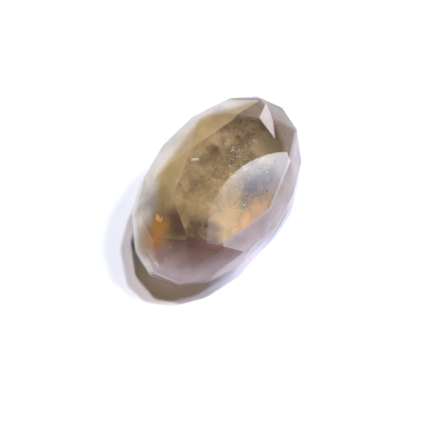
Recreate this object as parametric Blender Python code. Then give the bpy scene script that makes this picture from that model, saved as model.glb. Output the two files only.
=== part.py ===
"""Oval-cut imperial topaz: one solid gemstone, lying on a facet of its pavilion.

The stone is made the way a cutter makes it. A block of rough is trimmed by one flat cut
after another, row by row, until nothing but facets is left. The rows are laid out on a round
stone of radius 1, and the finished round stone is then drawn out to the oval. Drawing out
keeps every facet flat and every meeting point together, so the oval needs no layout of its own.

Frame: metres, +Z up, long axis along X, the table leaning towards -Y. The origin is under the
middle of the stone's box, on the surface that it lies on.
"""

import math
import random

import bmesh
import bpy
from mathutils import Matrix, Vector

# ---------------------------------------------------------------- driving dimensions, metres
LENGTH = 0.01135
WIDTH = 0.0070
CROWN_HEIGHT = 0.00144
GIRDLE_THICKNESS = 0.00025
PAVILION_DEPTH = 0.0026

# ---------------------------------------------------------------- proportions of the cut
FOLD = 8  # the cut repeats this many times round the stone
TABLE_SHARE = 0.72  # table corners, as a share of the stone's half width
STAR_DROP = 0.46  # how far down the crown the star facets reach
SHOULDER_RADIUS = 0.956  # where the steep row under the girdle ends
SHOULDER_DEPTH = 0.35  # depth there, as a share of the pavilion's
KEEL_RADIUS = 0.716  # where the flat row round the culet begins
REST_ANGLE = math.radians(25.0)  # slope of that row on the stone's long sides

# A hand-cut stone: each facet is off its mark by up to this much ...
SLOPE_ERROR = math.radians(0.8)
TURN_ERROR = math.radians(1.0)
CUTTER_SEED = 11
# ... and three sides were ground flatter than the rest. Each is the azimuth that it faces on the
# round stone, and how far in its facets were moved, as a share of the half width.
FLAT_SIDES = (
    (math.radians(62), 0.020),
    (math.radians(151), 0.014),
    (math.radians(251), 0.030),
)
FLAT_SIDE_SPREAD = math.radians(17)

# ---------------------------------------------------------------- working values
HALF_WIDTH = WIDTH / 2  # one unit of the round stone
STRETCH = LENGTH / WIDTH
STEP = 2 * math.pi / FOLD
HALF_STEP = STEP / 2
QUARTER_STEP = STEP / 4
GIRDLE = GIRDLE_THICKNESS / WIDTH  # the girdle's half height, in units
TABLE_TOP = GIRDLE + CROWN_HEIGHT / HALF_WIDTH
CULET = -GIRDLE - PAVILION_DEPTH / HALF_WIDTH
SNAP = 2e-4  # a corner this near to a cut is on it, in units
ROUGH_SIZE = 2.6  # the block, a little larger than the round stone


def cut(stone, azimuth, outer, inner):
    """Grind one facet: a plane at an azimuth, through two points (radius, height) of the profile."""
    run = inner[0] - outer[0]
    rise = inner[1] - outer[1]
    outward = Vector((abs(rise), -run * math.copysign(1, rise))).normalized()
    direction = Vector((math.cos(azimuth), math.sin(azimuth)))
    point = Vector((*(direction * outer[0]), outer[1]))
    normal = Vector((*(direction * outward.x), outward.y))
    grind(stone, point, normal)


def grind(stone, point, normal):
    """Take away all that stands proud of a plane, and close the stone with the new flat."""
    parts = stone.verts[:] + stone.edges[:] + stone.faces[:]
    result = bmesh.ops.bisect_plane(
        stone, geom=parts, dist=SNAP, plane_co=point, plane_no=normal, clear_outer=True
    )
    rim = [part for part in result["geom_cut"] if isinstance(part, bmesh.types.BMEdge)]
    if rim:
        bmesh.ops.contextual_create(stone, geom=[e for e in rim if e.is_boundary])


def ground_in(azimuth):
    """How far in a facet that faces this way was moved by the flatter sides."""
    depth = 0.0
    for side, most in FLAT_SIDES:
        away = math.remainder(azimuth - side, 2 * math.pi) / FLAT_SIDE_SPREAD
        depth += most * math.exp(-away * away)
    return depth


def row(stone, hand, count, first, outer, inner, steady=()):
    """Cut one row of facets evenly round the stone. Facets named in steady are cut without error."""
    for index in range(count):
        azimuth = first + index * 2 * math.pi / count
        turn = hand.uniform(-TURN_ERROR, TURN_ERROR)
        tip = hand.uniform(-SLOPE_ERROR, SLOPE_ERROR)
        if index in steady:
            turn = tip = 0.0
        start = (outer[0] - ground_in(azimuth), outer[1])
        reach = math.dist(outer, inner)
        angle = math.atan2(inner[1] - outer[1], inner[0] - outer[0]) + tip
        end = (start[0] + reach * math.cos(angle), start[1] + reach * math.sin(angle))
        cut(stone, azimuth + turn, start, end)


def round_stone():
    """The whole cut on a round stone of radius 1, with its girdle at height 0."""
    hand = random.Random(CUTTER_SEED)
    stone = bmesh.new()
    bmesh.ops.create_cube(stone, size=ROUGH_SIZE)

    # The girdle: a ring of upright flats whose corners lie on the circle of radius 1.
    girdle_flat = math.cos(QUARTER_STEP)
    upright = range(2 * FOLD)
    girdle = (girdle_flat, 0.0), (girdle_flat, 1.0)
    row(stone, hand, 2 * FOLD, QUARTER_STEP, *girdle, steady=upright)

    # The crown: kite-shaped mains from the girdle to the table's corners ...
    main_foot = (1.0, GIRDLE)
    main_top = (TABLE_SHARE, TABLE_TOP)
    row(stone, hand, FOLD, 0.0, main_foot, main_top)
    grind(stone, Vector((0, 0, TABLE_TOP)), Vector((0, 0, 1)))

    # ... stars along the table's edges, down to where two mains meet between them ...
    star_height = TABLE_TOP - STAR_DROP * (TABLE_TOP - GIRDLE)
    share_up = (star_height - GIRDLE) / (TABLE_TOP - GIRDLE)
    star_radius = (1.0 + share_up * (TABLE_SHARE - 1.0)) / math.cos(HALF_STEP)
    table_edge = (TABLE_SHARE * math.cos(HALF_STEP), TABLE_TOP)
    row(stone, hand, FOLD, HALF_STEP, (star_radius, star_height), table_edge)

    # ... and pairs of upper girdle facets under each star.
    upper_top = (star_radius * math.cos(QUARTER_STEP), star_height)
    row(stone, hand, 2 * FOLD, QUARTER_STEP, (girdle_flat, GIRDLE), upper_top)

    # The pavilion: a flat keel row round the culet. The stone lies on the one on its -Y side.
    keel_depth = CULET + KEEL_RADIUS * math.tan(REST_ANGLE)
    rest_facet = 3 * FOLD // 4
    row(stone, hand, FOLD, 0.0, (KEEL_RADIUS, keel_depth), (0.0, CULET), steady=(rest_facet,))

    # Mains from the keel row to the shoulder, set between the keel facets ...
    shoulder = (SHOULDER_RADIUS, -GIRDLE + SHOULDER_DEPTH * (CULET + GIRDLE))
    row(stone, hand, FOLD, HALF_STEP, shoulder, (KEEL_RADIUS, keel_depth))

    # ... and a steep row up to the girdle.
    row(stone, hand, 2 * FOLD, QUARTER_STEP, (girdle_flat, -GIRDLE), shoulder)
    return stone


def draw_out(stone):
    """Scale the round stone to the oval's real length and width."""
    size = Vector((HALF_WIDTH * STRETCH, HALF_WIDTH, HALF_WIDTH))
    bmesh.ops.scale(stone, vec=size, verts=stone.verts)


def lay_down(stone):
    """Turn the stone about its long axis onto its rest facet, and bring it to the origin."""
    lean = Matrix.Rotation(REST_ANGLE, 3, "X")
    bmesh.ops.rotate(stone, cent=(0, 0, 0), matrix=lean, verts=stone.verts)
    lows = [min(v.co[axis] for v in stone.verts) for axis in range(3)]
    highs = [max(v.co[axis] for v in stone.verts) for axis in range(3)]
    middle = Vector(((lows[0] + highs[0]) / 2, (lows[1] + highs[1]) / 2, lows[2]))
    bmesh.ops.translate(stone, vec=-middle, verts=stone.verts)


def topaz_material():
    """Clear golden-brown topaz, polished all over."""
    material = bpy.data.materials.new("polished_topaz")
    material.use_nodes = True
    surface = material.node_tree.nodes["Principled BSDF"]
    surface.inputs["Base Color"].default_value = (0.62, 0.42, 0.20, 1.0)
    surface.inputs["Roughness"].default_value = 0.02
    surface.inputs["Metallic"].default_value = 0.0
    surface.inputs["IOR"].default_value = 1.62
    surface.inputs["Transmission Weight"].default_value = 1.0
    return material


def main():
    for obj in list(bpy.data.objects):
        bpy.data.objects.remove(obj)
    stone = round_stone()
    draw_out(stone)
    lay_down(stone)
    bmesh.ops.recalc_face_normals(stone, faces=stone.faces)
    mesh = bpy.data.meshes.new("topaz")
    stone.to_mesh(mesh)
    stone.free()
    mesh.materials.append(topaz_material())
    bpy.context.collection.objects.link(bpy.data.objects.new("topaz", mesh))


main()
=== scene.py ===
"""Looks of a cut imperial topaz: polish, body colour, inclusions and the white table it lies on."""

import math
import random

import bmesh
import bpy
from mathutils import Matrix, Vector, noise


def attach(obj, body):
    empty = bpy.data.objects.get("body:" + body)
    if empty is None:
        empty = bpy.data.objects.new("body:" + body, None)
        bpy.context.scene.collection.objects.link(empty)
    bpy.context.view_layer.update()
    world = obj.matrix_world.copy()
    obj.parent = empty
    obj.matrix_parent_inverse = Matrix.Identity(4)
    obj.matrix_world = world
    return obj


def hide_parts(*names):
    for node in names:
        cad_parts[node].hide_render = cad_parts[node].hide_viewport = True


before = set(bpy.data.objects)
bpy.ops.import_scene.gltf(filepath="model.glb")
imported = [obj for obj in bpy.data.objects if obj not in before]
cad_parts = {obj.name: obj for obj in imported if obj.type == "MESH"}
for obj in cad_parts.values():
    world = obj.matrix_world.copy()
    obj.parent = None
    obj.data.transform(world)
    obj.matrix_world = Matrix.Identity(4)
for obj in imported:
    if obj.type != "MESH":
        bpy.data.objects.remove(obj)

bl_info = {
    "name": "Cut Imperial Topaz",
    "version": (1, 0, 0),
    "blender": (4, 5, 0),
    "location": "3D View > Sidebar > Topaz",
    "description": "Polishes and tints the cut stone, grows its inclusions and lights it on a table",
    "category": "Object",
}

MM = 0.001
NODE = "topaz"
MERGE_DISTANCE = 1e-6  # corners of the solid's loose triangles that are closer than this are one


# ---------------------------------------------------------------- helpers
def linear(hex_colour):
    """An sRGB hex colour such as 'c8a060' as linear red, green, blue and alpha 1."""
    parts = [int(hex_colour[i : i + 2], 16) / 255 for i in (0, 2, 4)]
    return (*[c / 12.92 if c <= 0.04045 else ((c + 0.055) / 1.055) ** 2.4 for c in parts], 1.0)


def add_node(tree, kind, settings=None, links=None):
    """Add a node. Settings go to its sockets, or to its properties where it has no such socket."""
    node = tree.nodes.new(kind)
    for name, value in (settings or {}).items():
        if isinstance(name, int) or name in node.inputs:
            node.inputs[name].default_value = value
        else:
            setattr(node, name, value)
    for name, source in (links or {}).items():
        tree.links.new(source, node.inputs[name])
    return node


def new_material(name):
    material = bpy.data.materials.new(name)
    material.use_nodes = True
    material.node_tree.nodes.clear()
    return material, material.node_tree


def piece_from(mesh_data, name, material):
    """A mesh object at the origin, with its place in its mesh, riding on the stone's body."""
    mesh = bpy.data.meshes.new(name)
    mesh_data.to_mesh(mesh)
    mesh_data.free()
    mesh.materials.append(material)
    piece = bpy.data.objects.new(name, mesh)
    bpy.context.scene.collection.objects.link(piece)
    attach(piece, "root")
    return piece


# ---------------------------------------------------------------- places inside the stone
LEAN = math.radians(25)  # the table facet's slope
TABLE_NORMAL = Vector((0, -math.sin(LEAN), math.cos(LEAN)))
ALONG = Vector((1, 0, 0))
ACROSS = TABLE_NORMAL.cross(ALONG)
TABLE_MIDDLE = Vector((0, -0.643, 3.970)) * MM
GIRDLE_DROP = 1.565 * MM  # from the table facet down to the middle of the girdle
GIRDLE_MIDDLE = TABLE_MIDDLE - TABLE_NORMAL * GIRDLE_DROP
SKIN = 0.12 * MM  # inclusions stay this far inside the facets
SAME_FACET_DIGITS = 3  # triangles whose normals agree to so many decimals are one facet
FACING_UP = 0.05  # a facet is on the upper side if the cosine of its slope to the table is more
CUT_TOLERANCE = 1e-7  # corners this close to a cut count as on it


def below_table(along, across, depth):
    """A point in the stone: millimetres along it, across it, and down from its table facet."""
    return TABLE_MIDDLE + (ALONG * along + ACROSS * across - TABLE_NORMAL * depth) * MM


def facet_planes():
    """Each facet of the cut solid once, as a point on it and its outward normal."""
    planes = {}
    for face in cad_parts[NODE].data.polygons:
        key = tuple(round(x, SAME_FACET_DIGITS) for x in face.normal)
        planes.setdefault(key, (face.center.copy(), face.normal.copy()))
    return list(planes.values())


def facet_depth(along, across, planes):
    """How far below the table's level the stone's upper surface is, in millimetres."""
    over = below_table(along, across, 0)
    upper = [(foot, normal) for foot, normal in planes if normal.dot(TABLE_NORMAL) > FACING_UP]
    return max((over - foot).dot(normal) / normal.dot(TABLE_NORMAL) for foot, normal in upper) / MM


def trim_to_stone(mesh):
    """Cut away what would come out of the stone, or nearer to its facets than the skin."""
    for point, normal in facet_planes():
        bmesh.ops.bisect_plane(
            mesh,
            geom=mesh.verts[:] + mesh.edges[:] + mesh.faces[:],
            dist=CUT_TOLERANCE,
            plane_co=point - normal * SKIN,
            plane_no=normal,
            clear_outer=True,
        )


def is_inside(point, planes):
    return all((point - foot).dot(normal) < -SKIN for foot, normal in planes)


# ---------------------------------------------------------------- what a user would change
class TopazStone(bpy.types.PropertyGroup):
    """Body colour and worn edges."""

    colour: bpy.props.StringProperty(
        name="Body colour",
        description="Colour left in light after the depth below, sRGB hex",
        default="d5be90",
    )
    colour_depth: bpy.props.FloatProperty(
        name="Colour depth",
        description="Path in the stone that gives the colour",
        default=5.0 * MM,
        unit="LENGTH",
    )
    edge_wear: bpy.props.FloatProperty(
        name="Edge wear",
        description="Width of the flat worn on to each facet edge",
        default=0.03 * MM,
        unit="LENGTH",
    )


class TopazStage(bpy.types.PropertyGroup):
    """Brightness of the room's walls and ceiling."""

    wall: bpy.props.FloatProperty(
        name="Walls", description="Brightness of the walls", default=1.7, min=0.0
    )
    ceiling: bpy.props.FloatProperty(
        name="Ceiling", description="Brightness overhead", default=0.30, min=0.0
    )


# ---------------------------------------------------------------- materials
TOPAZ_IOR = 1.62
FILM_IOR = 1.45  # the films, hollows and small crystals that grew in the stone
TABLE_WHITE = 0.93
FAINTEST = 1e-4  # a colour channel counts as at least this bright, because 0 has no logarithm


def topaz_material(settings):
    """Topaz, cut and polished: mirror-smooth facets that bend light by 1.62, tinted by depth."""
    material, tree = new_material("polished_topaz")
    surface = add_node(
        tree,
        "ShaderNodeBsdfPrincipled",
        {"Base Color": (1, 1, 1, 1), "Roughness": 0.0, "IOR": TOPAZ_IOR, "Transmission Weight": 1.0},
    )
    tint = linear(settings.colour)
    lost = [-math.log(max(c, FAINTEST)) / settings.colour_depth for c in tint[:3]]
    density = max(lost)
    inside = add_node(
        tree,
        "ShaderNodeVolumeAbsorption",
        {"Color": (*[1 - a / density for a in lost], 1.0), "Density": density},
    )
    add_node(
        tree,
        "ShaderNodeOutputMaterial",
        links={"Surface": surface.outputs["BSDF"], "Volume": inside.outputs["Volume"]},
    )
    return material


def table_material():
    """White acrylic sheet: matt, very pale, with no pattern of its own."""
    material, tree = new_material("white_table")
    surface = add_node(
        tree,
        "ShaderNodeBsdfPrincipled",
        {"Base Color": (*[TABLE_WHITE] * 3, 1), "Roughness": 0.9, "Specular IOR Level": 0.0},
    )
    add_node(tree, "ShaderNodeOutputMaterial", links={"Surface": surface.outputs["BSDF"]})
    return material


# ---------------------------------------------------------------- pieces
FLAT_WITHIN = math.radians(0.3)  # triangles that meet flatter than this are one facet


class TOPAZ_OT_dress_stone(bpy.types.Operator):
    """Make the polished stone from the cut solid"""

    bl_idname = "topaz.dress_stone"
    bl_label = "Dress the stone"

    def execute(self, context):
        settings = context.scene.topaz_stone
        stone = bmesh.new()
        stone.from_mesh(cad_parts[NODE].data)
        bmesh.ops.remove_doubles(stone, verts=stone.verts, dist=MERGE_DISTANCE)
        bmesh.ops.dissolve_limit(stone, angle_limit=FLAT_WITHIN, verts=stone.verts, edges=stone.edges)
        bmesh.ops.bevel(
            stone,
            geom=stone.edges[:] + stone.verts[:],
            offset=settings.edge_wear / 2,
            offset_type="OFFSET",
            segments=1,
            profile=0.5,
            affect="EDGES",
            material=-1,
            clamp_overlap=True,
        )
        piece = piece_from(stone, "polished_stone", topaz_material(settings))
        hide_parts(NODE)
        return {"FINISHED"}


# Healed fractures: middle along, across and below the table, half length and half width, all in
# millimetres, tilt along and across in degrees, curl in millimetres, and kind.
VEILS = (
    ((2.2, 0.9, 1.1), (2.6, 1.8), 8, -6, 0.35, "brown"),
    ((0.6, 0.2, 2.0), (2.8, 2.2), -12, 10, 0.45, "milky"),
    ((-1.6, 0.9, 1.4), (2.3, 1.8), 10, 14, 0.35, "milky"),
    ((0.2, 0.5, 1.1), (4.2, 2.2), 3, -4, 0.25, "milky"),
    ((1.3, -1.2, 1.2), (2.0, 1.2), 4, -12, 0.3, "grey"),
    ((0.85, -1.5, 0.5), (1.7, 0.85), 4, -4, 0.08, "dark"),
    # The next veil is an orange patch that paints orange glints.
    ((-0.75, -2.15, 0.25), (1.9, 0.85), 0, 0, 0.03, "amber_glint"),
    ((-3.2, -0.6, 0.25), (1.3, 1.7), 0, 0, 0.04, "smoky"),
    ((1.0, 0.9, 0.55), (2.8, 0.75), 0, 0, 0.1, "umber"),
    ((-2.5, 1.3, 0.4), (1.5, 1.0), 0, 0, 0.1, "umber"),
)
# Each kind's tint, how much its thickest patches hide, and the noise values that bound its patches.
VEIL_TINTS = {
    "brown": ("8c6c54", 0.75, (0.40, 0.62)),
    "milky": ("e6dabc", 0.66, (0.43, 0.62)),
    "grey": ("8c7a78", 0.80, (0.36, 0.64)),
    "dark": ("5c4040", 1.00, (0.22, 0.58)),
    # The next tint is orange and paints orange glints.
    "amber_glint": ("ffc478", 0.80, (0.10, 0.55)),
    "umber": ("5e4434", 0.60, (0.42, 0.62)),
    "smoky": ("5c3424", 0.95, (0.20, 0.56)),
}
VEIL_CLOUDING = 0.9 / MM  # patches per metre: each is about 1.1 mm across
THICKNESS = "thickness"  # the veils' vertex attribute: 1 in the middle, 0 at the rim
RIM_FADE = 1.6  # how steeply a veil thins out at its rim
VEIL_GRID = (44, 32)  # cells along and across
# Unevenness of a veil: how strong it is, how fine, and its step in the noise from veil to veil.
RAGGED = (0.35, 2.0, 5.7)
CURLED = (1.0, 1.3, 7.1)
RIPPLED = (0.25, 4.0, 3.3)


def veil_material(kind):
    """A healed fracture: films of trapped fluid, milky in patches and clear between them; the
    orange-tinted kind is a patch that paints orange glints.
    """
    tint, cover, patch_range = VEIL_TINTS[kind]
    material, tree = new_material(f"{kind}_healed_fracture")
    place = add_node(tree, "ShaderNodeTexCoord")
    cloud = add_node(
        tree,
        "ShaderNodeTexNoise",
        {"Scale": VEIL_CLOUDING, "Detail": 6.0, "Roughness": 0.68, "Distortion": 0.6},
        {"Vector": place.outputs["Object"]},
    )
    patches = add_node(
        tree,
        "ShaderNodeMapRange",
        {"From Min": patch_range[0], "From Max": patch_range[1], "To Min": 0.0, "To Max": cover},
        {"Value": cloud.outputs["Fac"]},
    )
    thickness = add_node(tree, "ShaderNodeAttribute", {"attribute_name": THICKNESS})
    alpha = add_node(
        tree,
        "ShaderNodeMath",
        {"operation": "MULTIPLY"},
        {0: patches.outputs["Result"], 1: thickness.outputs["Fac"]},
    )
    surface = add_node(
        tree,
        "ShaderNodeBsdfPrincipled",
        {"Base Color": linear(tint), "Roughness": 0.7, "IOR": FILM_IOR},
        {"Alpha": alpha.outputs["Value"]},
    )
    add_node(tree, "ShaderNodeOutputMaterial", links={"Surface": surface.outputs["BSDF"]})
    return material


def uneven(place, index, kind):
    """How far a veil departs from its plain form at a place on its sheet, which is 2 by 2."""
    strength, fineness, step = kind
    return strength * noise.noise(Vector((place.x * fineness, place.y * fineness, index * step)))


class TOPAZ_OT_grow_veils(bpy.types.Operator):
    """Grow the healed fractures that cloud the stone"""

    bl_idname = "topaz.grow_veils"
    bl_label = "Grow the veils"

    def execute(self, context):
        for index, (middle, halves, tilt_along, tilt_across, curl, kind) in enumerate(VEILS):
            veil = bmesh.new()
            bmesh.ops.create_grid(veil, x_segments=VEIL_GRID[0], y_segments=VEIL_GRID[1], size=1.0)
            thickness = veil.verts.layers.float.new(THICKNESS)
            turn = Matrix.Rotation(math.radians(tilt_along), 4, "Y")
            turn = turn @ Matrix.Rotation(math.radians(tilt_across), 4, "X")
            for vert in veil.verts:
                from_rim = 1.0 + uneven(vert.co, index, RAGGED) - vert.co.length
                vert[thickness] = min(1.0, max(0.0, RIM_FADE * from_rim))
                height = curl * (uneven(vert.co, index, CURLED) + uneven(vert.co, index, RIPPLED))
                sheet = turn @ Vector((vert.co.x * halves[0], vert.co.y * halves[1], height))
                vert.co = below_table(middle[0] + sheet.x, middle[1] + sheet.y, middle[2] - sheet.z)
            trim_to_stone(veil)
            piece_from(veil, f"{kind}_veil_{index + 1}", veil_material(kind))
        return {"FINISHED"}


# Skin under the crown, partly the stone's own milky haze and partly painted light: it paints the
# reflections and the bright see-through of the crown's facets, cream on the left, mauve at the near end,
# pale lavender on the right and brown at the far end, thickest and palest beside the girdle. From and to
# which bearing round the stone, its tint and how much it veils next to the table, then next to the girdle,
# and between which shares of the way down it changes.
RIM_HAZE_AND_LIGHT = (
    ("left", 20, 178, ("f8dc9c", "fffdf6"), (0.52, 0.97), (0.30, 0.62)),
    ("near", 178, 215, ("9c7678", "dcccd4"), (0.68, 0.88), (0.1, 0.95)),
    ("right", 215, 340, ("d8ccd4", "ecdfe8"), (0.76, 0.92), (0.0, 0.7)),
    ("far", -20, 20, ("9c7a64", "d0c4b8"), (0.52, 0.78), (0.1, 0.7)),
)
# Spots in the crown's skin: middle along, across and below the table and radius, in millimetres, tint, and
# how much they hide. The two orange ones are painted orange glints; the others are darker brown, ochre and
# pinkish patches.
SPOTS_AND_GLINTS = (
    ((-3.55, 0.30, 0.2), 2.2, "5c3624", 0.88),
    ((-4.75, 1.15, 1.00), 1.7, "b49058", 0.85),
    # The next two are painted orange glints.
    ((-4.10, 1.22, 0.60), 0.6, "d8942c", 0.85),
    ((-4.72, 0.75, 0.75), 0.7, "cc8434", 0.88),
    ((-5.15, 0.20, 0.95), 0.8, "b08884", 0.85),
)
SPOT_RAGGED = 2.0 * MM  # how far the skin's own clouding pulls a spot's edge in and out
SPOT_CORE = 0.4  # share of the way to its edge at which a spot starts to fade
RIM_INSET = 0.955  # the haze lies at this share of the way out to the facets
CROWN_SLOPES = (math.radians(12), math.radians(100))  # slopes to the table that the haze covers
# The haze's own clouding: patches per metre, each about 2 mm across, the noise values between which
# they grow, and what the haze's cover is multiplied by outside and inside them.
HAZE_CLOUDING = 0.5 / MM
HAZE_NOISE = (0.30, 0.62)
HAZE_PATCHES = (0.6, 1.1)


def haze_and_light_material(name, tints, covers, thickens):
    """A skin under the facets, thickest beside the girdle: partly milky haze, partly painted reflections
    and see-through light.
    """
    material, tree = new_material(f"{name}_crown_haze_and_light")
    place = add_node(tree, "ShaderNodeTexCoord")
    height = add_node(
        tree,
        "ShaderNodeVectorMath",
        {"operation": "DOT_PRODUCT", 1: TABLE_NORMAL},
        {0: place.outputs["Object"]},
    )
    top = TABLE_MIDDLE.dot(TABLE_NORMAL)
    share = add_node(
        tree,
        "ShaderNodeMapRange",
        {
            "interpolation_type": "SMOOTHSTEP",
            "From Min": top - GIRDLE_DROP * thickens[0],
            "From Max": top - GIRDLE_DROP * thickens[1],
        },
        {"Value": height.outputs["Value"]},
    )
    cover = add_node(
        tree,
        "ShaderNodeMapRange",
        {"To Min": covers[0], "To Max": covers[1]},
        {"Value": share.outputs["Result"]},
    )
    tint = add_node(
        tree,
        "ShaderNodeMix",
        {"data_type": "RGBA", 6: linear(tints[0]), 7: linear(tints[1])},
        {"Factor": share.outputs["Result"]},
    )
    cloud = add_node(
        tree,
        "ShaderNodeTexNoise",
        {"Scale": HAZE_CLOUDING, "Detail": 4.0, "Roughness": 0.6},
        {"Vector": place.outputs["Object"]},
    )
    patches = add_node(
        tree,
        "ShaderNodeMapRange",
        {
            "From Min": HAZE_NOISE[0],
            "From Max": HAZE_NOISE[1],
            "To Min": HAZE_PATCHES[0],
            "To Max": HAZE_PATCHES[1],
        },
        {"Value": cloud.outputs["Fac"]},
    )
    alpha = add_node(
        tree,
        "ShaderNodeMath",
        {"operation": "MULTIPLY"},
        {0: cover.outputs["Result"], 1: patches.outputs["Result"]},
    )
    shade, hides = tint.outputs[2], alpha.outputs["Value"]
    # Spots of tint; the orange ones are painted glints.
    for middle, radius, spot_tint, spot_cover in SPOTS_AND_GLINTS:
        away = add_node(
            tree,
            "ShaderNodeVectorMath",
            {"operation": "DISTANCE", 1: below_table(*middle)},
            {0: place.outputs["Object"]},
        )
        ragged = add_node(
            tree,
            "ShaderNodeMath",
            {"operation": "MULTIPLY_ADD", 1: SPOT_RAGGED},
            {0: cloud.outputs["Fac"], 2: away.outputs["Value"]},
        )
        edge = radius * MM + SPOT_RAGGED / 2
        spot = add_node(
            tree,
            "ShaderNodeMapRange",
            {"interpolation_type": "SMOOTHSTEP", "From Min": edge, "From Max": edge * SPOT_CORE},
            {"Value": ragged.outputs["Value"]},
        )
        mixed = add_node(
            tree,
            "ShaderNodeMix",
            {"data_type": "RGBA", 7: linear(spot_tint)},
            {"Factor": spot.outputs["Result"], 6: shade},
        )
        thicker = add_node(
            tree,
            "ShaderNodeMix",
            {"data_type": "FLOAT", 3: spot_cover},
            {"Factor": spot.outputs["Result"], 2: hides},
        )
        shade, hides = mixed.outputs[2], thicker.outputs[0]
    surface = add_node(
        tree,
        "ShaderNodeBsdfPrincipled",
        {"Roughness": 0.8, "IOR": FILM_IOR},
        {"Alpha": hides, "Base Color": shade},
    )
    add_node(tree, "ShaderNodeOutputMaterial", links={"Surface": surface.outputs["BSDF"]})
    return material


class TOPAZ_OT_haze_crown(bpy.types.Operator):
    """Lay the skin under the crown's facets: partly milky haze, partly painted reflections and light"""

    bl_idname = "topaz.haze_crown"
    bl_label = "Haze the crown"

    def execute(self, context):
        for name, first, last, tints, covers, thickens in RIM_HAZE_AND_LIGHT:
            skin = bmesh.new()
            skin.from_mesh(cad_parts[NODE].data)
            bmesh.ops.remove_doubles(skin, verts=skin.verts, dist=MERGE_DISTANCE)
            others = []
            for face in skin.faces:
                outward = face.calc_center_median() - GIRDLE_MIDDLE
                bearing = math.degrees(math.atan2(outward.dot(ACROSS), outward.dot(ALONG))) % 360
                slope = face.normal.angle(TABLE_NORMAL)
                in_sector = first <= bearing < last or first <= bearing - 360 < last
                if not (in_sector and CROWN_SLOPES[0] < slope < CROWN_SLOPES[1]):
                    others.append(face)
            bmesh.ops.delete(skin, geom=others, context="FACES")
            bmesh.ops.scale(
                skin,
                vec=Vector((1, 1, 1)) * RIM_INSET,
                space=Matrix.Translation(-GIRDLE_MIDDLE),
                verts=skin.verts,
            )
            piece_from(skin, f"{name}_crown_haze_and_light", haze_and_light_material(name, tints, covers, thickens))
        return {"FINISHED"}


# Clouds of pinpoints: middle along, across and below the table, spread the same three ways, how
# many, typical radius, and kind. Lengths are in millimetres.
PINPOINT_CLOUDS = (
    ((1.1, 0.3, 0.5), (1.3, 0.36, 0.15), 150, 0.036, "pale"),
    ((2.7, 0.9, 0.9), (1.3, 0.8, 0.3), 240, 0.022, "pale"),
    ((0.9, -1.4, 0.3), (1.2, 0.5, 0.10), 160, 0.022, "pale"),
    ((-1.6, 0.8, 1.0), (1.3, 0.8, 0.4), 140, 0.022, "pale"),
    # The next two clouds are warm dots that paint orange glints.
    ((-4.3, 1.0, 0.50), (0.30, 0.40, 0.06), 60, 0.032, "amber_glint"),
    ((-0.5, -2.1, 0.2), (0.45, 0.15, 0.03), 14, 0.026, "amber_glint"),
    ((0.75, -1.5, 0.35), (0.75, 0.32, 0.10), 480, 0.026, "dark"),
    ((1.6, 0.9, 0.5), (1.9, 0.8, 0.2), 300, 0.020, "dark"),
)
# The warm middle tint paints orange glints.
PINPOINT_TINTS = {"pale": "fffaf0", "amber_glint": "ffe0a0", "dark": "3a2c2c"}
PINPOINT_SEED = 4
SIZE_SPREAD = 0.45  # of the logarithm of a crystal's radius
CRYSTAL_WIDTHS = (0.5, 1.0)  # shares of its length
CRYSTAL_THICKNESS = 0.35


def pinpoint_material(kind):
    """Tiny hollows and crystals: bright where they catch the light, or dark, or warm dots that paint
    orange glints.
    """
    material, tree = new_material(f"{kind}_pinpoints")
    surface = add_node(
        tree,
        "ShaderNodeBsdfPrincipled",
        {"Base Color": linear(PINPOINT_TINTS[kind]), "Roughness": 0.25, "IOR": FILM_IOR},
    )
    add_node(tree, "ShaderNodeOutputMaterial", links={"Surface": surface.outputs["BSDF"]})
    return material


def scatter(mesh, hand, middle, spread, size, planes):
    """Add one small flat crystal near a middle, if it falls inside the stone."""
    offset = [hand.gauss(0, 1) * s for s in spread]
    point = below_table(*(m + o for m, o in zip(middle, offset)))
    if not is_inside(point, planes):
        return
    radius = size * hand.lognormvariate(0, SIZE_SPREAD) * MM
    turn = Vector([hand.gauss(0, 1) for _ in range(3)]).to_track_quat("Z", "Y").to_matrix().to_4x4()
    flatten = Matrix.Diagonal((1, hand.uniform(*CRYSTAL_WIDTHS), CRYSTAL_THICKNESS, 1))
    bmesh.ops.create_icosphere(
        mesh, subdivisions=1, radius=radius, matrix=Matrix.Translation(point) @ turn @ flatten
    )


class TOPAZ_OT_grow_pinpoints(bpy.types.Operator):
    """Grow the clouds of tiny crystals and hollows"""

    bl_idname = "topaz.grow_pinpoints"
    bl_label = "Grow the pinpoints"

    def execute(self, context):
        hand = random.Random(PINPOINT_SEED)
        planes = facet_planes()
        for kind in PINPOINT_TINTS:
            mesh = bmesh.new()
            for middle, spread, count, size, of_kind in PINPOINT_CLOUDS:
                for _ in range(count if of_kind == kind else 0):
                    scatter(mesh, hand, middle, spread, size, planes)
            piece_from(mesh, f"{kind}_pinpoints", pinpoint_material(kind))
        return {"FINISHED"}


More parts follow.
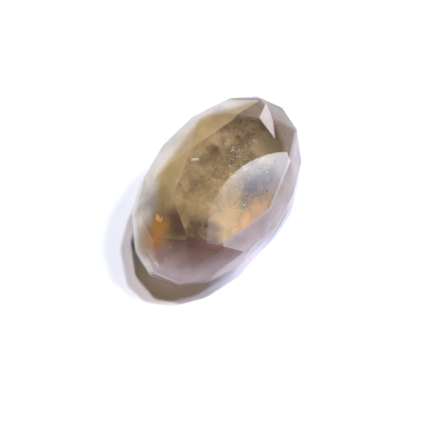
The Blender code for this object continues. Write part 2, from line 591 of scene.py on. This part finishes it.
# Painted highlights: flat sheets in bright tints just under the facets, the kite a painted reflection and
# the others painted glints: name, corners along and across the stone and depth under the facets, in
# millimetres, tint, and how much they hide.
PAINTED_GLINTS = (
    ("kite", ((4.86, 0.62), (3.60, 0.50), (3.27, -0.76), (3.97, -0.12)), 0.05, "fff4f4", 0.95),
    ("feather", ((-0.62, 1.86), (-0.36, 1.62), (-0.20, 1.60), (-0.45, 1.88)), 0.15, "fff8f0", 0.95),
    ("speck", ((-2.00, 1.80), (-1.88, 1.68), (-1.78, 1.78), (-1.90, 1.88)), 0.15, "fff0d8", 0.95),
    ("gold_spark", ((-3.69, 1.53), (-3.77, 1.34), (-3.99, 1.21), (-3.93, 1.41)), 0.05, "ffd880", 0.85),
    ("small_spark", ((-3.73, 1.27), (-3.83, 1.17), (-4.01, 1.16), (-3.88, 1.24)), 0.05, "ffd890", 0.80),
    ("tan_spark", ((-4.36, 0.74), (-4.40, 0.62), (-4.56, 0.60), (-4.51, 0.71)), 0.05, "dca86c", 0.60),
    ("amber_spark", ((-4.67, 0.87), (-4.59, 0.61), (-4.93, 0.49), (-4.99, 0.70)), 0.05, "d89444", 0.55),
    ("pale_spark", ((-4.96, -0.09), (-5.03, -0.23), (-5.16, -0.25), (-5.09, -0.12)), 0.05, "f0d4c4", 0.60),
)
FLAKE_CUTS = 12  # so that a flake can bend with the facets above it


def painted_glint_material(name, tint, cover):
    """A painted highlight: a flat sheet in a bright tint inside the stone, standing in for a glint or
    reflection.
    """
    material, tree = new_material(f"{name}_painted_glint")
    surface = add_node(
        tree,
        "ShaderNodeBsdfPrincipled",
        {"Base Color": linear(tint), "Roughness": 0.35, "IOR": FILM_IOR, "Alpha": cover},
    )
    add_node(tree, "ShaderNodeOutputMaterial", links={"Surface": surface.outputs["BSDF"]})
    return material


class TOPAZ_OT_open_flakes(bpy.types.Operator):
    """Lay the flat sheets of painted glints and reflection"""

    bl_idname = "topaz.open_flakes"
    bl_label = "Lay the glint flakes"

    def execute(self, context):
        planes = facet_planes()
        for name, corners, depth, tint, cover in PAINTED_GLINTS:
            mesh = bmesh.new()
            mesh.faces.new([mesh.verts.new((along, across, 0)) for along, across in corners])
            bmesh.ops.subdivide_edges(mesh, edges=mesh.edges[:], cuts=FLAKE_CUTS, use_grid_fill=True)
            for vert in mesh.verts:
                along, across, _ = vert.co
                vert.co = below_table(along, across, facet_depth(along, across, planes) + depth)
            piece_from(mesh, f"{name}_flake", painted_glint_material(name, tint, cover))
        return {"FINISHED"}


# ---------------------------------------------------------------- stage
PICTURE_WIDTH = 430  # pixels
UPWARDS = Vector((0, 0, 1))
TABLE_REACH = 0.6  # metres from the middle of the table to its edges
TABLE_GAP = 0.01 * MM  # the air under the facet that the stone rests on

# The camera: where it stands round the stone and how high, how far off, how wide a strip it sees
# there, and how far right and up of the girdle's middle it aims.
CAMERA_AZIMUTH = math.radians(-57)
CAMERA_ELEVATION = math.radians(59)
CAMERA_DISTANCE = 90 * MM
FRAME_WIDTH = 21.10 * MM
AIM_RIGHT, AIM_UP = -0.05 * MM, -1.46 * MM
NEAREST_SEEN = 1 * MM

# Name, lean to the camera's right and away from it per unit of height, radius in millimetres,
# light reaching the table, and colour.
LAMPS = (
    ("key", 0.23, 0.09, 16, 0.48, "dfeeff"),
    ("side", 0.50, 0.0, 32, 0.33, "e4e9ff"),
    ("top", 0.03, 0.02, 16, 0.34, "d0e1ff"),
    ("fill", 0.05, 0.0, 20, 0.27, "ffdfc8"),
)
LAMP_DISTANCE = 500 * MM

# Light that the stone gathers and throws on the table under it. Each entry is a spot: the point of
# the girdle's plane that it is aimed through, along and across the stone, and its radius there, in
# millimetres, how bright it is, and its colour.
CAUGHT_LIGHT = (
    (0.8, 0.8, 2.9, 0.85, "ffe8c8"),
    (-1.2, -3.2, 2.3, 0.55, "d4d8ff"),
    (-0.8, -1.9, 1.5, 0.50, "ffdca8"),
    (2.8, 1.5, 2.0, 0.50, "ffe8d4"),
    (-4.6, -0.8, 2.4, 0.12, "ffcfa8"),
)
CAUGHT_LEAN = (0.20, 0.07)  # to the camera's right and away from it, per unit of height
CAUGHT_DISTANCE = 120 * MM
CAUGHT_BULB = 1 * MM
CAUGHT_BLEND = 0.8  # share of the spot over which it fades

# The round lamp whose mirror image in the table facet is the pale glow: where that image lies in
# the picture and its radius, in pixels, and how bright the lamp is low down and at its upper edge.
GLOW_X, GLOW_Y, GLOW_RADIUS = 289, 234, 82
GLOW_DISTANCE = 300 * MM
GLOW_LOW, GLOW_HIGH = 2.2, 10.5
GLOW_RISES = 0.68  # share of its height above which it brightens
GLOW_COLOUR = "dee6fa"

# The walls are at full brightness up to one height and fade out at the other: sines of the angle up.
WALL_FULL, WALL_TOP = 0.22, 0.50
ROOM_COLOUR = "faf2f0"


def camera_axes():
    """Unit vectors towards the camera, to its right, up in its picture, and level away from it."""
    to_camera = Vector(
        (
            math.sin(CAMERA_AZIMUTH) * math.cos(CAMERA_ELEVATION),
            -math.cos(CAMERA_AZIMUTH) * math.cos(CAMERA_ELEVATION),
            math.sin(CAMERA_ELEVATION),
        )
    )
    right = Vector((math.cos(CAMERA_AZIMUTH), math.sin(CAMERA_AZIMUTH), 0))
    away = Vector((-math.sin(CAMERA_AZIMUTH), math.cos(CAMERA_AZIMUTH), 0))
    return to_camera, right, to_camera.cross(right), away


def add_to_scene(name, data):
    """An object for a lamp, the camera or the table's mesh, linked to the scene."""
    placed = bpy.data.objects.new(name, data)
    bpy.context.scene.collection.objects.link(placed)
    return placed


def hang(lamp, lean_right, lean_away, target, distance):
    """Hang a lamp over a target, leaning by the camera's directions, so that it shines on it."""
    _, right, _, away = camera_axes()
    towards = (right * lean_right + away * lean_away + UPWARDS).normalized()
    hung = add_to_scene(lamp.name, lamp)
    hung.location = target + towards * distance
    hung.rotation_euler = towards.to_track_quat("Z", "Y").to_euler()
    hung.visible_camera = False
    return hung, towards


def lay_table():
    sheet = bmesh.new()
    bmesh.ops.create_grid(sheet, x_segments=1, y_segments=1, size=TABLE_REACH)
    bmesh.ops.translate(sheet, vec=(0, 0, -TABLE_GAP), verts=sheet.verts)
    mesh = bpy.data.meshes.new("table")
    sheet.to_mesh(mesh)
    sheet.free()
    mesh.materials.append(table_material())
    table = add_to_scene("table", mesh)
    return table


def hang_lamps():
    """The lamps that light the table and cast the stone's shadows."""
    for name, lean_right, lean_away, radius, light, colour in LAMPS:
        lamp = bpy.data.lights.new(name, "AREA")
        lamp.shape = "DISK"
        lamp.size = 2 * radius * MM
        lamp.color = linear(colour)[:3]
        _, towards = hang(lamp, lean_right, lean_away, GIRDLE_MIDDLE, LAMP_DISTANCE)
        # A disk this far off lights the table by energy / (pi * distance squared), times towards.z
        # for its lean. The matt table sends back 1 / pi of that, and looks as bright as `light`.
        lamp.energy = light * math.pi**2 * LAMP_DISTANCE**2 / towards.z


def throw_caught_light(table):
    """The light gathered by the stone: spots that only the table stops, and not the stone."""
    stops = bpy.data.collections.new("stops_caught_light")
    stops.objects.link(table)
    for along, across, radius, light, colour in CAUGHT_LIGHT:
        lamp = bpy.data.lights.new("caught", "SPOT")
        lamp.shadow_soft_size = CAUGHT_BULB
        lamp.spot_size = 2 * math.atan(radius * MM / CAUGHT_DISTANCE)
        lamp.spot_blend = CAUGHT_BLEND
        # A spot gives energy / (4 * pi * distance squared), and the table sends back 1 / pi of it.
        lamp.energy = light * 4 * math.pi**2 * CAUGHT_DISTANCE**2
        lamp.color = linear(colour)[:3]
        target = below_table(along, across, GIRDLE_DROP / MM)
        caught, _ = hang(lamp, *CAUGHT_LEAN, target, CAUGHT_DISTANCE)
        caught.visible_glossy = caught.visible_transmission = False
        caught.light_linking.blocker_collection = stops


def fade_lamp(lamp):
    """Make a lamp brighter towards one edge, as a window is towards the sky."""
    lamp.use_nodes = True
    tree = lamp.node_tree
    place = add_node(tree, "ShaderNodeNewGeometry")
    split = add_node(tree, "ShaderNodeSeparateXYZ", links={"Vector": place.outputs["Parametric"]})
    fade = add_node(
        tree,
        "ShaderNodeMapRange",
        {
            "interpolation_type": "SMOOTHSTEP",
            "From Min": GLOW_RISES,
            "From Max": 1.0,
            "To Min": GLOW_LOW,
            "To Max": GLOW_HIGH,
        },
        {"Value": split.outputs["Y"]},
    )
    tree.links.new(fade.outputs["Result"], tree.nodes["Emission"].inputs["Strength"])


def hang_glow(eye, aim):
    """Hang the round lamp where the table facet, as a mirror, shows it at the wanted place."""
    to_camera, right, up, _ = camera_axes()
    pixel = FRAME_WIDTH / PICTURE_WIDTH
    middle = PICTURE_WIDTH / 2
    sight = aim + right * (GLOW_X - middle) * pixel - up * (GLOW_Y - middle) * pixel - eye
    reach = (CAMERA_DISTANCE + GLOW_DISTANCE) / CAMERA_DISTANCE
    image = eye + sight * reach
    rise = (image - TABLE_MIDDLE).dot(TABLE_NORMAL)
    lamp = bpy.data.lights.new("glow", "AREA")
    lamp.shape = "DISK"
    lamp.size = 2 * GLOW_RADIUS * pixel * reach
    lamp.energy = math.pi**2 * (lamp.size / 2) ** 2
    lamp.color = linear(GLOW_COLOUR)[:3]
    fade_lamp(lamp)
    glow = add_to_scene("glow", lamp)
    axes = (right, up, -to_camera)
    mirrored = [axis - 2 * axis.dot(TABLE_NORMAL) * TABLE_NORMAL for axis in axes]
    turn = Matrix(mirrored).transposed().to_4x4()
    glow.matrix_world = Matrix.Translation(image - 2 * rise * TABLE_NORMAL) @ turn
    glow.visible_camera = False


def light_room(settings):
    """Pale walls that are bright low down, under a dimmer ceiling. They don't light the table."""
    world = bpy.data.worlds.new("room")
    world.use_nodes = True
    tree = world.node_tree
    direction = add_node(tree, "ShaderNodeTexCoord")
    height = add_node(tree, "ShaderNodeSeparateXYZ", links={"Vector": direction.outputs["Generated"]})
    wall = add_node(
        tree,
        "ShaderNodeMapRange",
        {
            "interpolation_type": "SMOOTHSTEP",
            "From Min": WALL_FULL,
            "From Max": WALL_TOP,
            "To Min": settings.wall,
            "To Max": settings.ceiling,
        },
        {"Value": height.outputs["Z"]},
    )
    background = tree.nodes["Background"]
    background.inputs["Color"].default_value = linear(ROOM_COLOUR)
    tree.links.new(wall.outputs["Result"], background.inputs["Strength"])
    world.cycles_visibility.diffuse = False
    bpy.context.scene.world = world


def place_camera(eye):
    to_camera = camera_axes()[0]
    camera_data = bpy.data.cameras.new("camera")
    camera_data.lens = camera_data.sensor_width * CAMERA_DISTANCE / FRAME_WIDTH
    camera_data.clip_start = NEAREST_SEEN
    camera = add_to_scene("camera", camera_data)
    camera.location = eye
    camera.rotation_euler = to_camera.to_track_quat("Z", "Y").to_euler()
    bpy.context.scene.camera = camera


class TOPAZ_OT_set_stage(bpy.types.Operator):
    """Lay the table, hang the lamps and place the camera"""

    bl_idname = "topaz.set_stage"
    bl_label = "Set the stage"

    def execute(self, context):
        scene = context.scene
        to_camera, right, up, _ = camera_axes()
        aim = GIRDLE_MIDDLE + right * AIM_RIGHT + up * AIM_UP
        eye = aim + to_camera * CAMERA_DISTANCE

        table = lay_table()
        hang_lamps()
        throw_caught_light(table)
        hang_glow(eye, aim)
        light_room(scene.topaz_stage)
        place_camera(eye)

        scene.view_settings.view_transform = "Standard"
        # Light crosses many facets, films and hollows before it leaves the stone.
        scene.cycles.max_bounces = 24
        scene.cycles.transmission_bounces = 24
        scene.cycles.glossy_bounces = 16
        scene.cycles.transparent_max_bounces = 16
        scene.cycles.sample_clamp_indirect = 6.0
        scene.cycles.use_denoising = True
        return {"FINISHED"}


class TOPAZ_PT_panel(bpy.types.Panel):
    """Buttons for each piece"""

    bl_label = "Imperial topaz"
    bl_idname = "TOPAZ_PT_panel"
    bl_space_type = "VIEW_3D"
    bl_region_type = "UI"
    bl_category = "Topaz"

    def draw(self, context):
        column = self.layout.column()
        column.operator("topaz.dress_stone")
        column.operator("topaz.grow_veils")
        column.operator("topaz.haze_crown")
        column.operator("topaz.grow_pinpoints")
        column.operator("topaz.open_flakes")
        column.operator("topaz.set_stage")


CLASSES = (
    TopazStone,
    TopazStage,
    TOPAZ_OT_dress_stone,
    TOPAZ_OT_grow_veils,
    TOPAZ_OT_haze_crown,
    TOPAZ_OT_grow_pinpoints,
    TOPAZ_OT_open_flakes,
    TOPAZ_OT_set_stage,
    TOPAZ_PT_panel,
)


def register():
    for cls in CLASSES:
        bpy.utils.register_class(cls)
    bpy.types.Scene.topaz_stone = bpy.props.PointerProperty(type=TopazStone)
    bpy.types.Scene.topaz_stage = bpy.props.PointerProperty(type=TopazStage)


def unregister():
    del bpy.types.Scene.topaz_stage
    del bpy.types.Scene.topaz_stone
    for cls in reversed(CLASSES):
        bpy.utils.unregister_class(cls)


def main():
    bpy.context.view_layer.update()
    register()
    bpy.ops.topaz.dress_stone()
    bpy.ops.topaz.grow_veils()
    bpy.ops.topaz.haze_crown()
    bpy.ops.topaz.grow_pinpoints()
    bpy.ops.topaz.open_flakes()
    bpy.ops.topaz.set_stage()


if __name__ == "__main__":
    main()
